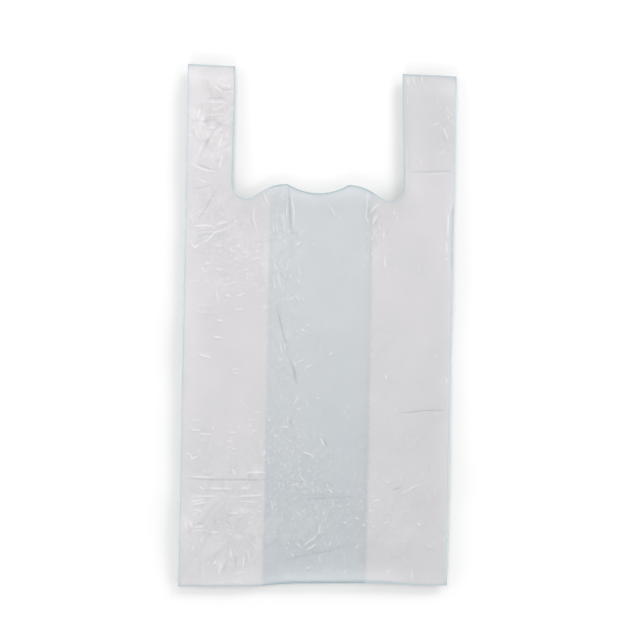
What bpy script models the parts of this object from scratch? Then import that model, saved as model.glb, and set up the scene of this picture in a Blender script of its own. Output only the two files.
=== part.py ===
# Plastic carrier bag of the vest type, folded flat and lying on its back panel.
#
# It is one length of blown film tube. A gusset is tucked in at each side, the tube is welded to itself across
# both ends, and one cut through all its layers makes the mouth and the two handles.
#
# Metres. X runs across the bag, Y from the base to the handles, Z up from the surface that it lies on.
# The origin is under the middle of the bag's bounding box.

import math

import bmesh
import bpy

# Driving dimensions
BAG_WIDTH = 0.276
LONG_SIDE = 0.5362          # the left side, from base to handle top
BASE_RISE = 0.0064          # the base is cut this much out of square, rising to the right
TOP_FALL = 0.0075           # the cut over the handle tops falls this much to the right
GUSSET_LEFT = 0.087         # depth of the left gusset, from the side to its inner fold
GUSSET_RIGHT = 0.0835
FILM = 0.0004               # film thickness as modelled; the blown film is about 0.015 mm
PANEL_GAP = 0.0012          # air between a panel and the layer beside it
POCKET_GAP = 0.0020         # air between the two halves of a gusset

# The cut of the mouth and handles, on one half; the die is the same on both sides of its own middle
DIE_MIDDLE_X = -0.002
DIE_LEAN = math.radians(0.7)        # the handles' inner edges lean this much to the left
LIP_PEAK = (0.0312, 0.1470)         # where the lip of the mouth comes to a point
LIP_SAG_Y = 0.1379                  # lowest point of the lip, on the die's middle
ARMPIT = (0.0739, 0.1309)           # lowest point of the round corner beside a handle
HANDLE_ROOT = (0.0881, 0.1460)      # where the handle's inner edge runs straight
HANDLE_END_HALF_WIDTH = 0.0856      # half the distance between the handles, at their tops

# How far the cut's curves carry on straight from those places before they turn
SAG_REACH = 0.0109                  # keeps the stretch from the sag to the peak on one arc, of about 58 mm radius
SAG_ARC = math.radians(32)          # the angle of that arc
PEAK_REACH = 0.024
ARMPIT_INNER_REACH = 0.010
ARMPIT_OUTER_REACH = 0.008
ROOT_LOWER_REACH = 0.0085
ROOT_UPPER_REACH = 0.020
END_REACH = 0.030

# Details of the folds and welds
WELD_DEPTH = 0.003          # width of the weld across each end
SETTLE_LENGTH = 0.030       # the layers come together over this length before a weld
PRESSED = 0.25              # share of the air gaps that is left at a weld
OVERRUN = 0.003             # tube past the cut, which the trimming takes off
WELD_OVERRUN = 0.0045       # and weld past the cut
PANEL_STEP = 0.014          # the front panel comes down over this width past a gusset's fold
PANEL_STEP_START = 0.0012   # and it starts down this far past the fold
FOLD_SEGMENTS = 6
STEP_SEGMENTS = 6
SETTLE_ROWS = 5
CUTTER_DEPTH = 0.02         # half the cutters' height, well past the bag's layers
CUTTER_REACH = 0.03         # how far the cutters pass its outline
CURVE_STEPS = 8             # pieces in each curve of the cut
WELD_DISTANCE = 1e-6        # joins the loose caps of the die's outline
SMOOTH_ANGLE = math.radians(35)

# Milky high-density film
FILM_COLOUR = (0.66, 0.68, 0.71, 1)
FILM_ROUGHNESS = 0.32
FILM_ALPHA = 0.8

HALF_WIDTH = BAG_WIDTH / 2
FOLD_TIP_X = HALF_WIDTH - FILM / 2


def base_y(x):
    """Height of the base cut at a place across the bag."""
    return -LONG_SIDE / 2 + BASE_RISE * (x / BAG_WIDTH + 0.5)


def top_y(x):
    """Height of the cut over the handle tops at a place across the bag."""
    return LONG_SIDE / 2 - TOP_FALL * (x / BAG_WIDTH + 0.5)


def along_bag(x, distance):
    """Y at a distance up the long side; every row runs between the two slanting cuts."""
    share = distance / LONG_SIDE
    return base_y(x) + share * (top_y(x) - base_y(x))


def layer_heights(slack):
    """Mid heights of the back panel, lower gusset half, upper gusset half and front panel."""
    back = FILM / 2
    gusset_low = back + FILM + PANEL_GAP * slack
    gusset_high = gusset_low + FILM + POCKET_GAP * slack
    front = gusset_high + FILM + PANEL_GAP * slack
    return back, gusset_low, gusset_high, front


def half_turn(tip_x, low, high, outward):
    """A fold of the film round a half circle, from its lower layer to its upper one."""
    radius = (high - low) / 2
    centre_x = tip_x - outward * radius
    centre_z = (low + high) / 2
    points = []
    for step in range(FOLD_SEGMENTS + 1):
        angle = math.pi * (step / FOLD_SEGMENTS - 0.5)
        points.append((centre_x + outward * radius * math.cos(angle), centre_z + radius * math.sin(angle)))
    return points


def gusset_folds(depth, slack):
    """The three folds of the right side, from the back panel up to the front panel."""
    back, gusset_low, gusset_high, front = layer_heights(slack)
    folds = half_turn(FOLD_TIP_X, back, gusset_low, 1)
    folds += half_turn(HALF_WIDTH - depth, gusset_low, gusset_high, -1)
    folds += half_turn(FOLD_TIP_X, gusset_high, front, 1)
    return folds


def panel_step(depth, slack):
    """The front panel coming down past the right gusset's inner fold, on to the back panel."""
    _, resting, _, raised = layer_heights(slack)
    start_x = HALF_WIDTH - depth - PANEL_STEP_START
    points = []
    for step in range(STEP_SEGMENTS + 1):
        share = step / STEP_SEGMENTS
        drop = (1 - math.cos(math.pi * share)) / 2
        points.append((start_x - PANEL_STEP * share, raised + (resting - raised) * drop))
    return points


def mirrored(points):
    """The same points on the other side of the bag, in the order that carries on round the tube."""
    return [(-x, z) for x, z in reversed(points)]


def folded_section(slack):
    """The film's mid line once round the tube, up the right side and down the left."""
    right = gusset_folds(GUSSET_RIGHT, slack) + panel_step(GUSSET_RIGHT, slack)
    left = mirrored(gusset_folds(GUSSET_LEFT, slack) + panel_step(GUSSET_LEFT, slack))
    return right + left


def weld_section(slack):
    """The filled outline between the back and the front panel, where the layers are melted together."""
    back, _, _, front = layer_heights(slack)
    right = [(FOLD_TIP_X, back), (FOLD_TIP_X, front)] + panel_step(GUSSET_RIGHT, slack)
    left = mirrored([(FOLD_TIP_X, back), (FOLD_TIP_X, front)] + panel_step(GUSSET_LEFT, slack))
    return right + left


def slack_at(distance):
    """Share of the air gaps left at a distance from the nearer weld."""
    share = min(max((distance - WELD_DEPTH) / SETTLE_LENGTH, 0), 1)
    return PRESSED + (1 - PRESSED) * share * share * (3 - 2 * share)


def tube_rows():
    """Distances of the rows up the bag: close together beside the welds, where the layers settle."""
    rows = [-OVERRUN]
    for row in range(SETTLE_ROWS + 1):
        rows.append(WELD_DEPTH + SETTLE_LENGTH * row / SETTLE_ROWS)
    return rows + [LONG_SIDE - distance for distance in reversed(rows)]


def add_object(name, mesh, collection):
    """Puts a mesh in the scene as an object of the given collection."""
    obj = bpy.data.objects.new(name, mesh)
    collection.objects.link(obj)
    return obj


def swept_mesh(name, rows, section_at, closed_ends):
    """Lofts the sections of the given rows into one skin, which is open at its ends unless they are closed."""
    mesh = bpy.data.meshes.new(name)
    bm = bmesh.new()
    rings = []
    for distance in rows:
        ring = [bm.verts.new((x, along_bag(x, distance), z)) for x, z in section_at(distance)]
        rings.append(ring)
    for ring, following in zip(rings, rings[1:]):
        for index in range(len(ring)):
            bm.faces.new((ring[index - 1], ring[index], following[index], following[index - 1]))
    if closed_ends:
        bm.faces.new(rings[0])
        bm.faces.new(rings[-1])
    bmesh.ops.recalc_face_normals(bm, faces=bm.faces)
    bm.to_mesh(mesh)
    bm.free()
    return mesh


def make_film_tube(collection):
    """The folded tube as a skin, which Solidify gives its thickness."""
    def section_at(distance):
        nearer_end = min(distance, LONG_SIDE - distance)
        return folded_section(slack_at(nearer_end))

    tube = add_object("bag", swept_mesh("bag", tube_rows(), section_at, False), collection)
    solidify = tube.modifiers.new("film_thickness", "SOLIDIFY")
    solidify.thickness = FILM
    solidify.offset = 0
    solidify.use_even_offset = True
    return tube


def make_weld(name, start, end, collection):
    """A weld across the whole tube, between two distances up the bag."""
    def section_at(_):
        return weld_section(PRESSED)

    return add_object(name, swept_mesh(name, [start, end], section_at, True), collection)


def make_trimmer(name, edge_y, side, collection):
    """A block whose face lies along one slanting cut; side is 1 above the cut and -1 below it."""
    mesh = bpy.data.meshes.new(name)
    bm = bmesh.new()
    bmesh.ops.create_cube(bm, size=2)
    for vert in bm.verts:
        x = vert.co.x * (HALF_WIDTH + CUTTER_REACH)
        reach = 0 if vert.co.y * side < 0 else side * CUTTER_REACH
        vert.co = (x, edge_y(x) + reach, vert.co.z * CUTTER_DEPTH)
    bmesh.ops.recalc_face_normals(bm, faces=bm.faces)
    bm.to_mesh(mesh)
    bm.free()
    return add_object(name, mesh, collection)


def die_outline():
    """Control points of the cut's right half, from its middle out: place, handle before, handle after."""
    peak_x, peak_y = LIP_PEAK
    pit_x, pit_y = ARMPIT
    root_x, root_y = HANDLE_ROOT
    open_end = (HANDLE_END_HALF_WIDTH, top_y(0) + CUTTER_REACH)
    before_peak = (peak_x - SAG_REACH * math.cos(SAG_ARC), peak_y - SAG_REACH * math.sin(SAG_ARC))
    return [
        ((0, LIP_SAG_Y), (-SAG_REACH, LIP_SAG_Y), (SAG_REACH, LIP_SAG_Y)),
        (LIP_PEAK, before_peak, (peak_x + PEAK_REACH, peak_y)),
        (ARMPIT, (pit_x - ARMPIT_INNER_REACH, pit_y), (pit_x + ARMPIT_OUTER_REACH, pit_y)),
        (HANDLE_ROOT, (root_x, root_y - ROOT_LOWER_REACH), (root_x, root_y + ROOT_UPPER_REACH)),
        (open_end, (open_end[0], open_end[1] - END_REACH), open_end),
    ]


def on_the_bag(point):
    """A point of the die's outline where it lands: off the bag's middle, and leaning above the lip."""
    x, y = point
    return x + DIE_MIDDLE_X - (y - LIP_SAG_Y) * math.tan(DIE_LEAN), y, 0


def make_mouth_die(collection):
    """The die that stamps the mouth and handles through every layer, as a flat outline given depth."""
    right = die_outline()
    left = []
    for place, before, after in reversed(right[1:]):
        left.append(tuple((-x, y) for x, y in (place, after, before)))
    outline = right + left

    curve = bpy.data.curves.new("mouth_die", "CURVE")
    curve.dimensions = "2D"
    curve.fill_mode = "BOTH"
    curve.extrude = CUTTER_DEPTH
    curve.resolution_u = CURVE_STEPS
    spline = curve.splines.new("BEZIER")
    spline.bezier_points.add(len(outline) - 1)
    spline.use_cyclic_u = True
    for point, (place, before, after) in zip(spline.bezier_points, outline):
        point.handle_left_type = "FREE"
        point.handle_right_type = "FREE"
        point.co = on_the_bag(place)
        point.handle_left = on_the_bag(before)
        point.handle_right = on_the_bag(after)
    flat = add_object("mouth_die_outline", curve, collection)

    bpy.context.view_layer.update()
    depsgraph = bpy.context.evaluated_depsgraph_get()
    mesh = bpy.data.meshes.new_from_object(flat.evaluated_get(depsgraph))
    bm = bmesh.new()
    bm.from_mesh(mesh)
    bmesh.ops.remove_doubles(bm, verts=bm.verts, dist=WELD_DISTANCE)
    bmesh.ops.recalc_face_normals(bm, faces=bm.faces)
    bm.to_mesh(mesh)
    bm.free()
    die = add_object("mouth_die", mesh, collection)
    die.matrix_world = flat.matrix_world
    bpy.data.objects.remove(flat)
    return die


def boolean(target, tool, operation):
    """Joins or cuts the target with a tool that is itself left out of the model."""
    modifier = target.modifiers.new(tool.name, "BOOLEAN")
    modifier.operation = operation
    modifier.solver = "EXACT"
    modifier.object = tool
    tool.hide_render = True
    tool.display_type = "WIRE"


def film_material():
    """Blown film: pale and cool, a little see-through, with a soft gloss."""
    material = bpy.data.materials.new("milky_polyethylene_film")
    material.use_nodes = True
    shader = material.node_tree.nodes["Principled BSDF"]
    shader.inputs["Base Color"].default_value = FILM_COLOUR
    shader.inputs["Roughness"].default_value = FILM_ROUGHNESS
    shader.inputs["Metallic"].default_value = 0
    shader.inputs["Alpha"].default_value = FILM_ALPHA
    return material


def make_bag():
    """The whole bag: tube, welds, trimmed ends, then the mouth and handles."""
    for obj in list(bpy.data.objects):
        bpy.data.objects.remove(obj)
    parts = bpy.data.collections.new("plastic_carrier_bag")
    cutters = bpy.data.collections.new("cutters")
    bpy.context.scene.collection.children.link(parts)
    bpy.context.scene.collection.children.link(cutters)

    bag = make_film_tube(parts)
    bag.data.materials.append(film_material())
    bag.data.shade_smooth()
    bag.data.set_sharp_from_angle(angle=SMOOTH_ANGLE)

    base_weld = make_weld("base_weld", -WELD_OVERRUN, WELD_DEPTH, cutters)
    top_weld = make_weld("top_weld", LONG_SIDE - WELD_DEPTH, LONG_SIDE + WELD_OVERRUN, cutters)
    boolean(bag, base_weld, "UNION")
    boolean(bag, top_weld, "UNION")
    boolean(bag, make_trimmer("base_trim", base_y, -1, cutters), "DIFFERENCE")
    boolean(bag, make_trimmer("top_trim", top_y, 1, cutters), "DIFFERENCE")
    boolean(bag, make_mouth_die(cutters), "DIFFERENCE")


make_bag()
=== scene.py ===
import math
import random

import bmesh
import bpy
import numpy as np
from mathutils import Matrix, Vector
from mathutils.geometry import delaunay_2d_cdt
from mathutils.kdtree import KDTree


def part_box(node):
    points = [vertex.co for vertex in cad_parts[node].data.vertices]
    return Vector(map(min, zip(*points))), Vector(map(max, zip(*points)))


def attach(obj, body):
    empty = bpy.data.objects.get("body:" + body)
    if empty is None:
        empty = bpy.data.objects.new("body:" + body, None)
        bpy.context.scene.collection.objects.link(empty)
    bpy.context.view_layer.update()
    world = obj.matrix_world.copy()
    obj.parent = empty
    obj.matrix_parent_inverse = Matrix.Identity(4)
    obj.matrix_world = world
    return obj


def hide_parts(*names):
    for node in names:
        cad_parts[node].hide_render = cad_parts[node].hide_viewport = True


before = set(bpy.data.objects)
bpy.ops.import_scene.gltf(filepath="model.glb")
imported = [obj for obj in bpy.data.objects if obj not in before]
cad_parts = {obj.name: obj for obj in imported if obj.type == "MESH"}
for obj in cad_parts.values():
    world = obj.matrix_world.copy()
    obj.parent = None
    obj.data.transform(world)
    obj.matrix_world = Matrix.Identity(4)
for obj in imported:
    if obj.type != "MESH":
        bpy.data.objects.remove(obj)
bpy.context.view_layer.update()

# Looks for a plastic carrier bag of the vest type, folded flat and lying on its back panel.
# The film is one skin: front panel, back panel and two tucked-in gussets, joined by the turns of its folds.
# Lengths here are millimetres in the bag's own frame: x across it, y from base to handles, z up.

mm = 0.001
bagLow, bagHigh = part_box("bag")
scene = bpy.context.scene


def linear(hexColour):          # sRGB hex to the linear colour that Blender's sockets take
    parts = [int(hexColour[i:i + 2], 16) / 255 for i in (0, 2, 4)]
    return [p / 12.92 if p <= 0.04045 else ((p + 0.055) / 1.055) ** 2.4 for p in parts] + [1.0]


def addNode(tree, kind, settings=None, inputs=None):
    node = tree.nodes.new(kind)
    for name, value in (settings or {}).items():
        setattr(node, name, value)
    for name, value in (inputs or {}).items():
        if isinstance(value, bpy.types.NodeSocket):
            tree.links.new(value, node.inputs[name])
        else:
            node.inputs[name].default_value = value
    return node


def smooth(low, high, value):
    share = np.clip((value - low) / (high - low), 0, 1)
    return share * share * (3 - 2 * share)


def swell(x, y, seed, length):  # slow unevenness from -1 to 1, its waves about the given length
    dice = random.Random(seed)
    total = 0
    for _ in range(5):
        angle = dice.uniform(0, math.pi)
        wave = length * dice.uniform(0.7, 1.6)
        turn = 2 * math.pi * (x * math.cos(angle) + y * math.sin(angle)) / wave
        total = total + np.sin(turn + dice.uniform(0, 6.28))
    return total / 3.2


# The cut outline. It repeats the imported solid's, so the film lies where the solid does.
bag = {
    "gussetLeft": 87.0,         # how deep each gusset is tucked in
    "gussetRight": 83.5,
    "baseRise": 6.4,            # the base is cut this much out of square, rising to the right
    "topFall": 7.5,             # and the handle tops fall this much to the right
    "edgeStep": 2.3,            # spacing of the points round the cut edge and up the folds
}
halfWidth = (bagHigh[0] - bagLow[0]) / 2 / mm
baseLeft = bagLow[1] / mm
topLeft = bagHigh[1] / mm
innerFold = {1: halfWidth - bag["gussetRight"], -1: -halfWidth + bag["gussetLeft"]}

mouthDie = {                    # the stamp that cuts mouth and handles, one half, mirrored about middleX
    "middleX": -2.0,
    "lean": math.tan(math.radians(0.7)),    # the handles' inner edges lean this much to the left
    "sag": (0, 137.9),          # lowest point of the lip
    "sagHandle": 10.9,
    "peak": (31.2, 147.0),      # where the lip comes to a point
    "armpit": (73.9, 130.9),    # bottom of the round corner beside a handle
    "root": (88.1, 146.0),      # where the handle's inner edge runs straight
    "endHalfWidth": 85.6,
    "reach": 30,
}


def baseY(x):
    return baseLeft + bag["baseRise"] * (x / halfWidth + 1) / 2


def topY(x):
    return topLeft - bag["topFall"] * (x / halfWidth + 1) / 2


def bezier(start, leave, arrive, end, steps):
    places = []
    for i in range(steps + 1):
        t = i / steps
        weights = ((1 - t) ** 3, 3 * t * (1 - t) ** 2, 3 * t * t * (1 - t), t ** 3)
        pulls = list(zip(weights, (start, leave, arrive, end)))
        places.append(tuple(sum(w * p[k] for w, p in pulls) for k in (0, 1)))
    return places


def evenly(line, step):         # the same line with its points a step apart
    line = np.array(line, dtype=float)
    run = np.concatenate([[0], np.cumsum(np.hypot(*np.diff(line, axis=0).T))])
    stops = np.linspace(0, run[-1], max(2, round(run[-1] / step) + 1))
    return np.column_stack([np.interp(stops, run, line[:, k]) for k in (0, 1)])


def mouthLine():                # from the top of the right handle, round the lip, to the top of the left one
    die = mouthDie
    px, py = die["peak"]
    ax, ay = die["armpit"]
    rx, ry = die["root"]
    end = (die["endHalfWidth"], topY(0) + die["reach"])
    arc = math.radians(32)
    beforePeak = (px - die["sagHandle"] * math.cos(arc), py - die["sagHandle"] * math.sin(arc))
    half = bezier(die["sag"], (die["sagHandle"], die["sag"][1]), beforePeak, die["peak"], 24)
    half += bezier(die["peak"], (px + 24, py), (ax - 10, ay), die["armpit"], 30)[1:]
    half += bezier(die["armpit"], (ax + 8, ay), (rx, ry - 8.5), die["root"], 20)[1:]
    half += bezier(die["root"], (rx, ry + 20), (end[0], end[1] - 30), end, 50)[1:]
    whole = half[::-1] + [(-x, y) for x, y in half[1:]]
    leant = [(x + die["middleX"] - (y - die["sag"][1]) * die["lean"], y) for x, y in whole]
    inside = [p for p in leant if p[1] < topY(p[0]) - 0.3]
    first = (inside[0][0], topY(inside[0][0]))
    last = (inside[-1][0], topY(inside[-1][0]))
    return evenly([first] + inside + [last], bag["edgeStep"])


mouth = mouthLine()
rightInner, leftInner = mouth[0], mouth[-1]
baseLine = evenly([(-halfWidth, baseY(-halfWidth)), (halfWidth, baseY(halfWidth))], bag["edgeStep"])
rightSide = evenly([(halfWidth, baseY(halfWidth)), (halfWidth, topY(halfWidth))], bag["edgeStep"])
leftSide = evenly([(-halfWidth, topY(-halfWidth)), (-halfWidth, baseY(-halfWidth))], bag["edgeStep"])
rightTop = evenly([(halfWidth, topY(halfWidth)), rightInner], bag["edgeStep"])
leftTop = evenly([leftInner, (-halfWidth, topY(-halfWidth))], bag["edgeStep"])
wholeOutline = np.concatenate([p[:-1] for p in (baseLine, rightSide, rightTop, mouth, leftTop, leftSide)])


def gussetOutline(side):        # outer fold, handle top, mouth cut and base, closed by the inner fold
    foldX = innerFold[side]
    cut = mouth if side > 0 else mouth[::-1]
    past = int(np.argmax(cut[:, 0] * side < foldX * side))
    before, after = cut[past - 1], cut[past]
    share = (foldX - before[0]) / (after[0] - before[0])
    corner = before + share * (after - before)
    base = baseLine if side > 0 else baseLine[::-1]
    base = base[base[:, 0] * side > foldX * side + 0.5]
    fold = evenly([corner, (foldX, baseY(foldX))], bag["edgeStep"])
    up, across = (rightSide, rightTop) if side > 0 else (leftSide[::-1], leftTop[::-1])
    return np.concatenate([up[:-1], across[:-1], cut[:past], fold, base[:-1]]), fold


# Creases, listed one by one. Each pen is a way for the film to be creased; strokes are runs of points.
pens = {    # height of the crease, half its width, how much it whitens the film (strain whitening with a painted highlight) and how much painted shade it lays along the crease
    "ridge": {"height": 0.6, "reach": 1.4, "strainWhiteAndGlint": 0.55, "creaseShade": 0},
    "fine": {"height": 0.42, "reach": 1.3, "strainWhiteAndGlint": 0.36, "creaseShade": 0},
    "faint": {"height": 0.22, "reach": 1.5, "strainWhiteAndGlint": 0.14, "creaseShade": 0},
    "valley": {"height": -0.42, "reach": 1.2, "strainWhiteAndGlint": 0, "creaseShade": 0.5},
    "dint": {"height": -0.28, "reach": 1.4, "strainWhiteAndGlint": 0, "creaseShade": 0.18},
    "fold": {"height": -0.55, "reach": 1.3, "strainWhiteAndGlint": 0, "creaseShade": 0.6},
    "bulge": {"height": 1.4, "reach": 10.0, "strainWhiteAndGlint": 0.16, "creaseShade": 0},
}

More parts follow.
